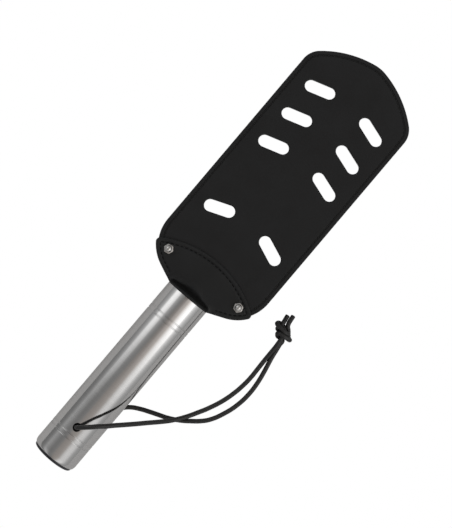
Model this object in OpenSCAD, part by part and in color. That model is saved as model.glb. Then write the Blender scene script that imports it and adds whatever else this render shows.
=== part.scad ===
// Hand paddle: a slotted leather blade on a polished tube handle, with a knotted wrist cord.
// The paddle lies flat. The handle's axis runs along Y with the blade's tip at +Y, and the
// faces of the blade look along +Z and -Z. The origin is the centre of the paddle's footprint,
// on the surface that it lies on. Lengths are in millimetres.
// The sub-parts are drawn from the middle of the handle's mouth: X across, Y towards the tip.

/* [Overall] */
// Length from the handle's mouth to the tip of the blade
blade_len = 235; // [196:1:290]
// Length from the handle's mouth to the end of the butt plug
handle_len = 165; // [150:1:220]

/* [Handle tube] */
// Outside diameter of the tube
tube_d = 38; // [36:0.5:46]
// Wall thickness of the tube
tube_wall = 1.5; // [1.2:0.1:2]
// How far the tube reaches in under the cuff's lip
tube_lap = 1.6; // [1.2:0.1:2]
// Length of the rounding at the butt end
butt_round_len = 4.2; // [3:0.1:6]
// How far the rounding turns in at the butt end
butt_round_in = 1.2; // [0.6:0.1:1.4]
// Width of a turned groove
ring_w = 1; // [0.6:0.1:1.6]
// Depth of a turned groove
ring_depth = 0.5; // [0.3:0.1:0.8]
// Distance between the two grooves of a pair
ring_pitch = 4.2; // [3:0.1:8]
// Distance from the mouth to the middle of the upper pair of grooves
upper_ring_gap = 23.5; // [14:0.5:40]
// Distance from the butt plug's end to the middle of the lower pair of grooves
lower_ring_gap = 24.5; // [22:0.5:27]
// Distance from the butt plug's end to the cord hole
cord_hole_gap = 33.5; // [32:0.5:40]
// Diameter of the cord hole
cord_hole_d = 6; // [5:0.1:8]
// Width of the bevel around the cord hole
cord_hole_bevel = 0.6; // [0.3:0.1:1]

/* [Butt plug] */
// Diameter of the plug's head
plug_head_d = 34.6; // [30:0.1:35]
// How far the head stands out of the tube
plug_head_len = 2.4; // [1.5:0.1:5]
// Rounding of the head's edge
plug_head_round = 1.4; // [0.5:0.1:1.5]
// Depth of the plug inside the tube
plug_depth = 14; // [8:0.5:18]

/* [Blade] */
// Width of the blade
blade_w = 103.6; // [88:0.2:124]
// Thickness of the blade
blade_t = 6; // [5:0.2:8]
// Thickness of the stiff core and of the tongue plate
core_t = 2; // [1.5:0.1:3]
// Distance from the blade's edge to the core
core_inset = 6.5; // [6:0.1:8]
// Gap between the core and the tongue plate
core_gap = 0.3; // [0.2:0.1:0.6]
// Radius of the point at the tip
tip_r = 28; // [15:1:40]
// Slope of the curved flanks beside the point, in degrees
tip_slope = 10; // [5:1:20]
// Slope of the curved flanks beside the shoulders, in degrees
shoulder_slope = 41; // [30:1:50]
// Radius of the shoulders of the tip
shoulder_r = 17; // [10:1:24]
// Radius of the corners beside the cuff
corner_r = 33; // [24:1:36]
// Distance from the mouth to the root of the blade
blade_root = 3; // [2.5:0.1:5]

/* [Slots] */
// Length of a slot, end to end
slot_len = 25.4; // [20:0.2:31]
// Width of a slot
slot_w = 9.9; // [7:0.1:12]
// Distance from the middle of the blade to the middle of a slot
slot_x = 26; // [22:0.5:31]
// Distance from the tip to the first row of slots
first_row_gap = 43; // [38:0.5:52]
// Distance between the first rows of slots
row_pitch = 28.3; // [23:0.1:34]
// Number of rows near the tip
row_count = 3; // [1:1:3]
// Slope of the slots near the tip, in degrees
row_slope = 17.5; // [0:0.5:25]
// Distance from the top of the cuff to the lone row
lone_row_gap = 33; // [20:0.5:40]
// Slope of the slots in the lone row, in degrees
lone_slope = 21.5; // [0:0.5:25]

/* [Stitching] */
// Distance from a leather edge to its seam
seam_inset = 3.7; // [3:0.1:4.5]
// Width of the thread
thread_w = 0.8; // [0.5:0.1:1]
// Height of the thread
thread_h = 0.5; // [0.3:0.05:0.6]
// Width of the groove that the thread lies in
seam_w = 1.4; // [1.2:0.1:2]
// Depth of that groove
seam_depth = 0.7; // [0.6:0.05:0.9]

/* [Cuff] */
// Thickness of the cuff's leather
cuff_t = 2; // [1.5:0.1:3]
// Distance from the mouth to the top of the cuff's arc
cuff_h = 36.5; // [33:0.5:44]
// Distance from the mouth to the cuff's side corners
cuff_corner_y = 20.5; // [17.5:0.5:25]
// How far the cuff's side corners lie inside the widest line of the blade
cuff_corner_in = 2.3; // [1:0.1:4]
// Slope of the lower edges where they leave the mouth, in degrees
mouth_slope = 23; // [15:1:26]
// Radius of the lower edges beside the corners
cuff_side_r = 35; // [25:1:50]
// How far the cuff's lower edges stand out past the blade
cuff_overhang = 1.1; // [0.5:0.1:2]
// How far the mouth's corners lie inside the tube's side
mouth_corner_in = 0.3; // [0.2:0.1:1]
// Thickness of the folded lip over the tube
lip_t = 4.1; // [4.1:0.1:5]
// Length of the lip along the handle
lip_len = 3.2; // [3:0.1:5]
// Distance from the mouth to the end of the cuff's shoulder
shoulder_end = 12.5; // [12:0.5:18]

/* [Tongue and head plug] */
// Width of the tongue plate's neck, inside the tube
neck_w = 30; // [20:0.5:32]
// Distance from the mouth to the neck's inner end
neck_len = 26; // [22:0.5:40]
// Distance from the cuff's edge to the plate's edge
fan_inset = 4.4; // [4:0.1:5.6]
// Width of plate that is kept around a bolt hole
bolt_land = 1.6; // [1:0.1:2.5]
// Length of the head plug inside the tube
head_plug_len = 30; // [28:0.5:45]
// Diameter of the cross pins
cross_pin_d = 4; // [3:0.5:5]
// Length of the cross pins
cross_pin_len = 30; // [20:1:32]
// Distance between the cross pins
cross_pin_pitch = 10; // [8:0.5:12]
// Distance from the mouth to the first cross pin
cross_pin_gap = 9; // [8:0.5:11]
// Diameter of the pins that lock the tube to the head plug
lock_pin_d = 2.6; // [2:0.1:2.8]
// Length of the lock pins
lock_pin_len = 7; // [4:0.5:9]
// Distance from the mouth to the lock pins
lock_pin_gap = 0.6; // [0.4:0.1:3]

/* [Clamp bolts] */
// Diameter of the bolt
bolt_d = 4; // [3:0.5:5]
// Diameter of the bolt's head
bolt_head_d = 8; // [7:0.5:10]
// Height of the bolt's head
bolt_head_h = 2.2; // [1.5:0.1:3]
// Diameter of the socket in the bolt's head
bolt_socket_d = 3; // [2:0.1:3.5]
// Depth of the socket in the bolt's head
bolt_socket_depth = 1.3; // [0.8:0.1:1.4]
// Diameter of the washer under the head
washer_d = 10; // [9:0.5:12]
// Thickness of that washer
washer_t = 0.8; // [0.5:0.1:1.2]
// Distance from the cuff's corner to the bolt, across
bolt_in = 13.8; // [12:0.2:18]
// Distance from the cuff's corner line to the bolt, towards the mouth
bolt_drop = 1.1; // [0:0.1:3]
// Width across the flats of the cap nut
nut_flats = 7; // [6:0.5:9]
// Height of the nut's hexagon
nut_hex_h = 3.2; // [2.5:0.1:5]
// Diameter of the nut's dome
nut_dome_d = 6; // [5:0.1:6.2]
// Height of the whole nut
nut_h = 6; // [5.4:0.1:8]
// Turn of the left cap nut, in degrees
left_nut_turn = 10; // [0:1:59]
// Turn of the right cap nut, in degrees
right_nut_turn = 48; // [0:1:59]

/* [Wrist cord] */
// Diameter of the cord
cord_d = 3.8; // [2.5:0.1:3.8]

/* [Hidden] */
$fn = 72;

through = 200;          // longer than any piece that is cut through
slide_fit = 0.05;       // radial clearance of pins, bolts and plugs
outline_steps = 16;     // straight pieces in each arc of an outline
tube_r = tube_d / 2;
bore_r = tube_r - tube_wall;
axis_z = tube_r + lip_t;
mouth_y = (handle_len - blade_len) / 2;
tube_end = plug_head_len - handle_len;
hole_y = cord_hole_gap - handle_len;
half_blade = blade_t / 2;
half_core = core_t / 2;
mouth_x = tube_r - mouth_corner_in;

// Cuff outline: the corners, the top arc and the side arcs
corner = [blade_w / 2 - cuff_corner_in, cuff_corner_y];
cuff_rise = cuff_h - cuff_corner_y;
cuff_top_r = (corner.x * corner.x + cuff_rise * cuff_rise) / (2 * cuff_rise);
cuff_top_c = [0, cuff_h - cuff_top_r];
edge_dir = [cos(mouth_slope), sin(mouth_slope)];
edge_in = [-sin(mouth_slope), cos(mouth_slope)];
corner_from_mouth = corner - [mouth_x, 0];
corner_in = corner_from_mouth * edge_in;
side_start = corner_from_mouth * edge_dir - sqrt(2 * cuff_side_r * corner_in - corner_in * corner_in);
cuff_side_c = [mouth_x, 0] + side_start * edge_dir + cuff_side_r * edge_in;

// Blade outline: centres of the arcs at the tip, the flanks, the shoulders and the lower corners
tip_c = [0, blade_len - tip_r];
flank_r = (blade_w / 2 - shoulder_r * (1 - sin(shoulder_slope)) - tip_r * sin(tip_slope))
    / (sin(shoulder_slope) - sin(tip_slope));
flank_c = tip_c + (tip_r - flank_r) * [sin(tip_slope), cos(tip_slope)];
shoulder_c = flank_c + (flank_r - shoulder_r) * [sin(shoulder_slope), cos(shoulder_slope)];
low_x = blade_w / 2 - corner_r;
low_c = [low_x,
    (cuff_overhang + corner_r + (low_x - mouth_x) * sin(mouth_slope)) / cos(mouth_slope)];

bolt_x = corner.x - bolt_in;
bolt_y = cuff_corner_y - bolt_drop;
stack_z = half_blade + cuff_t;

// Slots: centre and slope of each, right and left
lone_y = cuff_h + lone_row_gap;
slots = [for (side = [1, -1]) each [
    for (i = [0 : row_count - 1]) [side * slot_x, blade_len - first_row_gap - i * row_pitch, -side * row_slope],
    [side * slot_x, lone_y, -side * lone_slope]]];

// Wrist cord: points from the middle of the cord hole, and up from the surface below.
// The front strand leaves the front hole, arches over the tube's side and crosses
// the back strand, which leaves the back hole and lies on the surface all the way.
front_route = [
    [0, 0, 23.1], [0, 0, 27], [-0.3, -0.2, 32], [-0.6, -0.5, 37], [-0.5, -0.4, 41.4], [0.3, 0.5, 45.1],
    [2.4, 2.9, 47.9], [5.2, 5.7, 49.7], [8.4, 8.8, 50.3], [11.9, 12.3, 49.9], [16.3, 15.9, 48.1],
    [20.4, 19.7, 45.7], [26.3, 24.6, 40.7], [33.1, 30.1, 33.5], [40.1, 35.8, 25.1], [46.9, 41.2, 16.9],
    [52.6, 46.2, 10.9], [56.9, 51, 7.4], [60.5, 55.8, 5.2], [63.5, 60.4, 3.6], [65.8, 64.4, 2.6],
    [69.8, 71.7, 1.9], [75.3, 84.7, 1.9], [78.2, 95.5, 1.9], [79.6, 105.3, 1.9],
    [80.1, 114.3, 1.9], [79.8, 122.1, 1.9], [79.2, 130.1, 2.1], [78.5, 138.4, 2.9],
    [78.1, 146, 4.1], [78, 150, 4.6], [78, 152, 4.6]];
back_route = [
    [0, 0, 23.1], [0, 0, 20.3], [-0.4, -0.6, 15.4], [-0.8, -1.2, 11.4], [-0.8, -1.3, 8.4],
    [-0.5, -0.8, 5.5], [0.6, 0.9, 3], [2.6, 4.2, 2], [6, 9.9, 1.9], [10, 16.6, 1.9], [14, 23.4, 1.9],
    [18, 29.3, 1.9], [22.4, 33.4, 1.9], [28.4, 36.9, 1.9], [36.1, 40.3, 1.9], [44, 43.4, 1.9],
    [50.3, 45.9, 1.9], [60.3, 51.5, 1.9], [66.4, 56.1, 1.9], [72.2, 61, 1.9], [77.2, 66.8, 1.9],
    [83.2, 79, 1.9], [86.6, 91, 1.9], [87.7, 103.7, 1.9], [86.9, 115, 1.9], [85, 126.4, 1.9],
    [83.3, 137, 2.3], [82.3, 146, 4], [82, 150, 4.6], [82, 152, 4.6]];
front_tail = [[73, 165, 5.9], [73, 166.5, 5.9], [71.8, 170, 5.2], [70.4, 173, 4.2]];
back_tail = [[77.2, 165, 5.9], [77.2, 166.5, 5.9], [76.6, 171, 5.5], [75.8, 175, 4.6]];
knot_x = [68, 87];      // side faces of the knot
knot_y = [152, 165];    // faces that the strands and the tails leave
knot_h = 12;            // height of the knot
knot_chamfer = 4;       // cut corners of the knot
cord_sides = 8;         // sides of the cord's tube
side_ref = [1, -1, 0] / sqrt(2);    // level direction that no part of the cord runs along

// Turns a shape that stands along Z so that it lies along Y
module along_y() {
    rotate([-90, 0, 0]) children();
}

// Moves a sub-part from the handle's mouth to its place in the paddle
module placed() {
    translate([0, mouth_y, axis_z]) children();
}

// The two clamp bolts' places, left and right
module bolt_places() {
    for (side = [-1, 1]) translate([side * bolt_x, bolt_y]) children();
}

// The back of a piece is the front turned over
module turned_over() {
    mirror([0, 0, 1]) children();
}

// Points on an arc, from one angle to another
function arc(c, r, from, to) =
    [for (i = [0 : outline_steps]) let (a = from + (to - from) * i / outline_steps) c + r * [cos(a), sin(a)]];

function mirrored(points) = [for (i = [len(points) - 1 : -1 : 0]) [-points[i].x, points[i].y]];

// Right half of the blade's edge, from the tip to the root, moved inwards by inset
function blade_half(inset) =
    let (low = arc(low_c, corner_r - inset, 0, mouth_slope - 90), last = low[len(low) - 1],
        root = blade_root + inset)
    concat(
        arc(tip_c, tip_r - inset, 90, 90 - tip_slope),
        arc(flank_c, flank_r - inset, 90 - tip_slope, 90 - shoulder_slope),
        arc(shoulder_c, shoulder_r - inset, 90 - shoulder_slope, 0),
        low,
        [[last.x - (last.y - root) / tan(mouth_slope), root]]);

module blade_shape(inset) {
    half = blade_half(inset);
    polygon(concat(half, mirrored([for (i = [1 : len(half) - 1]) half[i]])));
}

// Right half of the cuff's lower edge, from the mouth to well above the corner
function cuff_low_half(inset) =
    let (side = arc(cuff_side_c, cuff_side_r - inset, mouth_slope - 90, 0), start = side[0],
        mouth = [start.x - start.y / tan(mouth_slope), 0])
    concat([mouth], side, [[side[len(side) - 1].x, cuff_h]]);

module cuff_shape(inset) {
    intersection() {
        translate(cuff_top_c) circle(r = cuff_top_r - inset, $fn = 180);
        polygon(concat(cuff_low_half(inset), mirrored(cuff_low_half(inset))));
    }
}

module plate(low, high) {
    translate([0, 0, low]) linear_extrude(high - low) children();
}

module slot_shape(grow) {
    r = slot_w / 2 + grow;
    run = slot_len - slot_w;
    for (s = slots) translate([s.x, s.y]) rotate(s[2]) {
        translate([-run / 2, -r]) square([run, 2 * r]);
        for (end = [-run / 2, run / 2]) translate([end, 0]) circle(r = r);
    }
}

module core_shape() {
    difference() {
        blade_shape(core_inset);
        translate(cuff_top_c) circle(r = cuff_top_r - fan_inset + core_gap, $fn = 180);
        bolt_pads(core_gap);
        slot_shape(core_t);
    }
}

// The room between the two leathers, for the core and the tongue plate
module pocket_shape() {
    difference() {
        blade_shape(core_inset);
        slot_shape(core_t);
    }
    tongue_shape();
}

// Round pads of the tongue plate, around the bolt holes
module bolt_pads(grow) {
    bolt_places() circle(r = bolt_d / 2 + bolt_land + grow);
}

module tongue_shape() {
    cuff_shape(fan_inset);
    bolt_pads(0);
    translate([-neck_w / 2, -neck_len]) square([neck_w, neck_len + blade_root]);
}

module bolt_holes() {
    bolt_places() translate([0, 0, -through / 2]) cylinder(r = bolt_d / 2 + slide_fit, h = through);
}

// Concave quarter ellipse from [radius, length] to [radius, length], as points of a turned profile
function hollow_curve(from, to) =
    [for (i = [0 : outline_steps]) let (a = 90 * i / outline_steps)
        [to.x + (from.x - to.x) * (1 - sin(a)), to.y + (from.y - to.y) * cos(a)]];

// The head plug's nose, from the tube's end down to the faces of the blade
module nose() {
    top = [tube_r, tube_lap];
    foot = [half_blade - 0.6, shoulder_end - 1.5];
    along_y() rotate_extrude()
        polygon(concat([[0, tube_lap]], hollow_curve(top, foot), [[0, foot.y]]));
}

// The outside of the cuff's shoulder, with its folded lip
module shoulder() {
    lip_r = tube_r + lip_t;
    roll = 0.8;
    top = [lip_r - roll, lip_len];
    foot = [stack_z - 0.4, shoulder_end];
    along_y() rotate_extrude()
        polygon(concat([[0, 0], [lip_r - roll, 0], [lip_r, roll], [lip_r, lip_len - roll]],
            hollow_curve(top, foot), [[0, foot.y]]));
}

module tube_outside(from, to, grow = 0) {
    translate([0, from, 0]) along_y() cylinder(r = tube_r + grow, h = to - from);
}

module lock_pin_places() {
    for (side = [1, -1]) translate([0, -lock_pin_gap, side > 0 ? tube_r - lock_pin_len : -tube_r - 1])
        children();
}

module cross_pin_places() {
    for (i = [0, 1]) translate([0, -cross_pin_gap - i * cross_pin_pitch, -cross_pin_len / 2])
        children();
}

module ring_pair(y) {
    for (side = [-1, 1]) translate([0, y + side * ring_pitch / 2 - ring_w / 2, 0]) along_y()
        difference() {
            cylinder(r = tube_r + 1, h = ring_w);
            translate([0, 0, -1]) cylinder(r = tube_r - ring_depth, h = ring_w + 2);
        }
}

module handle_tube() {
    butt = butt_rounding();
    color("silver") difference() {
        translate([0, tube_end, 0]) along_y() rotate_extrude()
            polygon(concat(butt, [[tube_r, tube_lap - tube_end], [bore_r, tube_lap - tube_end], [bore_r, 0]]));
        ring_pair(-upper_ring_gap);
        ring_pair(lower_ring_gap - handle_len);
        translate([0, hole_y, -through / 2]) cylinder(r = cord_hole_d / 2, h = through);
        for (side = [0, 1]) mirror([0, 0, side])
            translate([0, hole_y, tube_r - cord_hole_bevel])
                cylinder(r1 = cord_hole_d / 2, r2 = cord_hole_d / 2 + 2 * cord_hole_bevel,
                    h = 2 * cord_hole_bevel);
        lock_pin_places() cylinder(r = lock_pin_d / 2, h = lock_pin_len + 1);
    }
}

// Rounding of the tube's butt end, from the bore's edge out to the tube's side
function butt_rounding() =
    [for (i = [0 : outline_steps]) let (a = 90 * i / outline_steps)
        [tube_r - butt_round_in + butt_round_in * sin(a), butt_round_len * (1 - cos(a))]];

module butt_plug() {
    head_r = plug_head_d / 2;
    edge_r = head_r - plug_head_round;
    color([0.08, 0.08, 0.1]) translate([0, -handle_len, 0]) along_y() rotate_extrude()
        polygon(concat(
            [[0, 0], [edge_r, 0]],
            [for (i = [1 : outline_steps]) let (a = 90 * i / outline_steps)
                [edge_r + plug_head_round * sin(a), plug_head_round * (1 - cos(a))]],
            [[head_r, plug_head_len], [bore_r - slide_fit, plug_head_len],
                [bore_r - slide_fit, plug_head_len + plug_depth], [0, plug_head_len + plug_depth]]));
}

module head_plug() {
    color("dimgray") difference() {
        union() {
            nose();
            translate([0, -head_plug_len, 0]) along_y()
                cylinder(r = bore_r - slide_fit, h = head_plug_len + tube_lap);
        }
        plate(-half_core, half_core) tongue_shape();
        cross_pin_places() cylinder(r = cross_pin_d / 2 + slide_fit, h = cross_pin_len);
        lock_pin_places() cylinder(r = lock_pin_d / 2, h = lock_pin_len + 1);
    }
}

module lock_pins() {
    color("silver") intersection() {
        lock_pin_places() cylinder(r = lock_pin_d / 2, h = lock_pin_len + 1);
        tube_outside(-head_plug_len, tube_lap);
    }
}

module cross_pins() {
    color("silver") cross_pin_places() cylinder(r = cross_pin_d / 2, h = cross_pin_len);
}

module tongue_plate() {
    color("lightsteelblue") difference() {
        plate(-half_core, half_core) tongue_shape();
        bolt_holes();
        cross_pin_places() cylinder(r = cross_pin_d / 2 + slide_fit, h = cross_pin_len);
    }
}

module blade_core() {
    color("saddlebrown") plate(-half_core, half_core) core_shape();
}

// Ring-shaped band that follows the blade's edge, open at the root
module blade_seam(w) {
    difference() {
        blade_shape(seam_inset - w / 2);
        blade_shape(seam_inset + w / 2);
        translate([-blade_w / 2, 0]) square([blade_w, shoulder_end]);
    }
}

// Band that follows the cuff's edge, open at the mouth
module cuff_seam(w) {
    difference() {
        cuff_shape(seam_inset - w / 2);
        cuff_shape(seam_inset + w / 2);
        translate([-blade_w / 2, 0]) square([blade_w, lip_len + 1.4]);
    }
}

module blade_leather() {
    color([0.13, 0.13, 0.13]) difference() {
        plate(0, half_blade) difference() {
            blade_shape(0);
            slot_shape(0);
        }
        plate(-half_core, half_core) pocket_shape();
        plate(half_blade - seam_depth, half_blade + 1) blade_seam(seam_w);
        nose();
        bolt_holes();
    }
}

module blade_thread() {
    color([0.05, 0.05, 0.05]) difference() {
        plate(half_blade - seam_depth, half_blade - seam_depth + thread_h) blade_seam(thread_w);
        bolt_holes();
    }
}

module cuff() {
    color([0.15, 0.15, 0.15]) difference() {
        union() {
            plate(half_blade, stack_z) cuff_shape(0);
            intersection() {
                shoulder();
                translate([-mouth_x, 0, half_blade]) cube([2 * mouth_x, shoulder_end, axis_z]);
            }
        }
        tube_outside(-1, tube_lap, slide_fit);
        nose();
        plate(stack_z - seam_depth, stack_z + 1) cuff_seam(seam_w);
        bolt_holes();
    }
}

module cuff_thread() {
    color([0.05, 0.05, 0.05])
        plate(stack_z - seam_depth, stack_z - seam_depth + thread_h) cuff_seam(thread_w);
}

module blade_front_leather() {
    blade_leather();
}

module blade_back_leather() {
    turned_over() blade_leather();
}

module blade_front_thread() {
    blade_thread();
}

module blade_back_thread() {
    turned_over() blade_thread();
}

module cuff_front() {
    cuff();
}

module cuff_back() {
    turned_over() cuff();
}

module cuff_front_thread() {
    cuff_thread();
}

module cuff_back_thread() {
    turned_over() cuff_thread();
}

module clamp_bolts() {
    under = -stack_z - washer_t;
    color("silver") bolt_places() difference() {
        union() {
            translate([0, 0, under]) cylinder(r = bolt_d / 2, h = stack_z + nut_hex_h - under);
            translate([0, 0, under - bolt_head_h]) cylinder(r = bolt_head_d / 2, h = bolt_head_h);
        }
        translate([0, 0, under - bolt_head_h - 1])
            cylinder(r = bolt_socket_d / 2, h = bolt_socket_depth + 1, $fn = 6);
    }
}

module bolt_washers() {
    color("silver") bolt_places() translate([0, 0, -stack_z - washer_t]) difference() {
        cylinder(r = washer_d / 2, h = washer_t);
        translate([0, 0, -1]) cylinder(r = bolt_d / 2 + slide_fit, h = washer_t + 2);
    }
}

module cap_nut() {
    dome_r = nut_dome_d / 2;
    difference() {
        union() {
            cylinder(r = nut_flats / sqrt(3), h = nut_hex_h, $fn = 6);
            cylinder(r = dome_r, h = nut_h - dome_r);
            translate([0, 0, nut_h - dome_r]) sphere(r = dome_r);
        }
        translate([0, 0, -1]) cylinder(r = bolt_d / 2 + slide_fit, h = nut_hex_h + 1.2);
    }
}

module cap_nuts() {
    color("gainsboro") {
        translate([-bolt_x, bolt_y, stack_z]) rotate(left_nut_turn) cap_nut();
        translate([bolt_x, bolt_y, stack_z]) rotate(right_nut_turn) cap_nut();
    }
}

function unit(v) = v / norm(v);

function heading(route, i) =
    unit(unit(route[min(i + 1, len(route) - 1)] - route[i == len(route) - 1 ? i - 1 : i])
        + unit(route[i == 0 ? 1 : i] - route[max(i - 1, 0)]));

function ring_at(centre, dir) =
    let (u = unit(side_ref - (side_ref * dir) * dir), v = cross(dir, u))
    [for (k = [0 : cord_sides - 1]) let (a = 360 * k / cord_sides)
        centre + cord_d / 2 * (cos(a) * u + sin(a) * v)];

// A tube swept along a route, with one ring at each point
module cord_tube(route) {
    last = len(route) - 1;
    rings = [for (i = [0 : last]) each ring_at(route[i], heading(route, i))];
    sides = [for (i = [0 : last - 1], k = [0 : cord_sides - 1])
        let (a = i * cord_sides + k, b = i * cord_sides + (k + 1) % cord_sides)
        each [[a, a + cord_sides, b], [b, a + cord_sides, b + cord_sides]]];
    start = [for (k = [0 : cord_sides - 1]) k];
    end = [for (k = [cord_sides - 1 : -1 : 0]) last * cord_sides + k];
    polyhedron(points = rings, faces = concat(sides, [start, end]), convexity = 6);
}

// The cord's points count from the hole, and up from the surface that the paddle lies on
module from_cord_hole() {
    translate([0, hole_y, -axis_z]) children();
}

module front_cord() {
    color([0.1, 0.1, 0.1]) from_cord_hole() {
        cord_tube(front_route);
        cord_tube(front_tail);
    }
}

module back_cord() {
    color([0.1, 0.1, 0.1]) from_cord_hole() {
        cord_tube(back_route);
        cord_tube(back_tail);
    }
}

module cord_knot() {
    c = knot_chamfer;
    color([0.1, 0.1, 0.1]) from_cord_hole() linear_extrude(knot_h) polygon([
        [knot_x[0] + c, knot_y[0]], [knot_x[1] - c, knot_y[0]],
        [knot_x[1], knot_y[0] + c], [knot_x[1], knot_y[1] - c],
        [knot_x[1] - c, knot_y[1]], [knot_x[0] + c, knot_y[1]],
        [knot_x[0], knot_y[1] - c], [knot_x[0], knot_y[0] + c]]);
}

placed() handle_tube();
placed() butt_plug();
placed() head_plug();
placed() lock_pins();
placed() cross_pins();
placed() tongue_plate();
placed() blade_core();
placed() blade_front_leather();
placed() blade_back_leather();
placed() blade_front_thread();
placed() blade_back_thread();
placed() cuff_front();
placed() cuff_back();
placed() cuff_front_thread();
placed() cuff_back_thread();
placed() clamp_bolts();
placed() bolt_washers();
placed() cap_nuts();
placed() front_cord();
placed() back_cord();
placed() cord_knot();
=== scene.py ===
"""A slotted leather paddle on a steel tube handle, with a knotted wrist cord.

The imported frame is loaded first. Each operator makes one piece, or one group of like pieces, in
place around it. X runs across the blade, Y towards its tip and Z up. Sizes are in metres where
no comment says that they are in millimetres.
"""

import math

import bmesh
import bpy
from bpy.props import FloatProperty, FloatVectorProperty, IntProperty, PointerProperty
from mathutils import Matrix, Vector


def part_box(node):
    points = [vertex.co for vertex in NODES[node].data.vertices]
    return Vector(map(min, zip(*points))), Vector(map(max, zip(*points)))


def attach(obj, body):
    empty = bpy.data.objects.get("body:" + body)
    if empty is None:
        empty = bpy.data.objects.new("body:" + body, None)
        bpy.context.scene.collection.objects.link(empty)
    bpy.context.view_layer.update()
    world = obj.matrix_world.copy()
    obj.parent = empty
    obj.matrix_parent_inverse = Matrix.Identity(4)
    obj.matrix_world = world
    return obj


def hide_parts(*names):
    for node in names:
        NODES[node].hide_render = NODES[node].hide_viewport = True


bl_info = {
    "name": "Hand Paddle",
    "version": (1, 0, 0),
    "blender": (4, 5, 0),
    "location": "3D View > Sidebar > Paddle",
    "description": "Finishes a leather hand paddle around its packed frame",
    "category": "Object",
}

MM = 0.001

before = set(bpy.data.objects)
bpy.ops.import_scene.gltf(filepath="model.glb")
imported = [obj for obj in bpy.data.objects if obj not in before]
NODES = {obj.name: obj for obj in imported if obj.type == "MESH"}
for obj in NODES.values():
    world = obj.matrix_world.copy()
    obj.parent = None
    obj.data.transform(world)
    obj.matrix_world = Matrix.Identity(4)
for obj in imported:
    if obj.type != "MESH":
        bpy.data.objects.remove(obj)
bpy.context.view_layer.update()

# Places that come from the frame
TUBE_LOW, TUBE_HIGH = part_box("handle_tube")
PLUG_LOW, PLUG_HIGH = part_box("butt_plug")
CUFF_LOW, CUFF_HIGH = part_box("cuff_front")
NUTS_LOW, NUTS_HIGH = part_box("cap_nuts")
BOLTS_LOW, BOLTS_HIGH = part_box("clamp_bolts")
WASHERS_LOW, WASHERS_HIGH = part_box("bolt_washers")
PINS_LOW, PINS_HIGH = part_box("lock_pins")
TUBE_RADIUS = (TUBE_HIGH.x - TUBE_LOW.x) / 2
AXIS_Z = (TUBE_HIGH.z + TUBE_LOW.z) / 2
MOUTH_Y = CUFF_LOW.y
BOLT_HEAD = 8 * MM
BOLT = Vector(((BOLTS_HIGH.x - BOLTS_LOW.x - BOLT_HEAD) / 2, (BOLTS_HIGH.y + BOLTS_LOW.y) / 2, 0))
# The middle of the cord hole, on the surface below
HOLE = Vector((0, -0.1665, 0))

# The cord's two strands, in millimetres: X and Y count from the cord hole, Z from the surface
# below. Each runs from the middle of the handle to the overhand knot that both are tied in, and
# through the knot to its cut end.
FRONT_ROUTE = (
    (0, 0, 23.1), (0, 0, 27), (-0.3, -0.2, 32), (-0.6, -0.5, 37), (-0.5, -0.4, 41.4),
    (0.3, 0.5, 45.1), (2.4, 2.9, 47.9), (5.2, 5.7, 49.7), (8.4, 8.8, 50.3), (11.9, 12.3, 49.9),
    (16.3, 15.9, 48.1), (20.4, 19.7, 45.7), (26.3, 24.6, 40.7), (33.1, 30.1, 33.5),
    (40.1, 35.8, 25.1), (46.9, 41.2, 16.9), (52.6, 46.2, 10.9), (56.9, 51, 7.4), (60.5, 55.8, 5.2),
    (63.5, 60.4, 3.6), (65.8, 64.4, 2.6), (69.8, 71.7, 1.9), (75.3, 84.7, 1.9), (78.3, 95.5, 1.9),
    (79.9, 105.3, 1.9), (80.5, 114.3, 1.9), (80.3, 122.1, 1.9), (80, 130.1, 2.3),
    (79.8, 138.4, 3.4), (79.6, 146, 5), (79.3, 149.5, 5.6), (79, 152.8, 5.2), (78.4, 155.8, 5.2),
    (77.4, 159, 5.2), (75.7, 161.5, 4.9), (72.8, 162.7, 4.2), (70, 162.6, 4.4), (68.4, 161.6, 5.7),
    (68.7, 160.7, 7.5), (71.1, 160.4, 8.6), (74.6, 160, 8.7), (77.8, 159.7, 8.4),
    (80.5, 159.6, 6.7), (81.7, 159.2, 4.4), (80.4, 158.3, 2.3), (76.3, 157.8, 2), (73, 157.7, 2.7),
    (71.2, 158.3, 4.5), (71.4, 160.3, 5.5), (72, 162.2, 5.7), (71.8, 164.3, 5.9), (71.4, 167.3, 5),
    (71.1, 169.4, 4.4), (70.9, 171.2, 3.8),
)
BACK_ROUTE = (
    (0, 0, 23.1), (0, 0, 20.3), (-0.4, -0.6, 15.4), (-0.8, -1.2, 11.4), (-0.8, -1.3, 8.4),
    (-0.5, -0.8, 5.5), (0.6, 0.9, 3), (2.6, 4.2, 2), (6, 9.9, 1.9), (10, 16.6, 1.9),
    (14, 23.4, 1.9), (18, 29.3, 1.9), (22.4, 33.4, 1.9), (28.4, 36.9, 1.9), (36.1, 40.3, 1.9),
    (44, 43.4, 1.9), (50.3, 45.9, 1.9), (60.3, 51.5, 1.9), (66.4, 56.1, 1.9), (72.2, 61, 1.9),
    (77.2, 66.8, 1.9), (83.2, 79, 1.9), (86.7, 91, 1.9), (88, 103.7, 1.9), (87.3, 115, 1.9),
    (85.3, 126.4, 1.9), (83, 137, 2), (81.6, 146, 2.5), (81, 149.5, 3), (80.8, 152.9, 3.2),
    (79.3, 153.9, 2.5), (77.5, 153.7, 2.3), (75.8, 153.4, 3.2), (74.4, 154.2, 5),
    (73.8, 155.4, 6.9), (75.1, 156.3, 8.2), (77.6, 156.7, 8.6), (80.7, 156.9, 8.1),
    (83.5, 157.1, 6.5), (84.7, 157.3, 4.7), (84, 157.5, 3), (82.2, 158.6, 2.3), (80.6, 160.6, 2.8),
    (78.6, 162.8, 4.2), (76.4, 164.7, 5.4), (75.4, 167.1, 5.5), (74.9, 170.1, 4.9),
    (74.7, 172.1, 4.4), (74.5, 173.8, 3.8),
)


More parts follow.
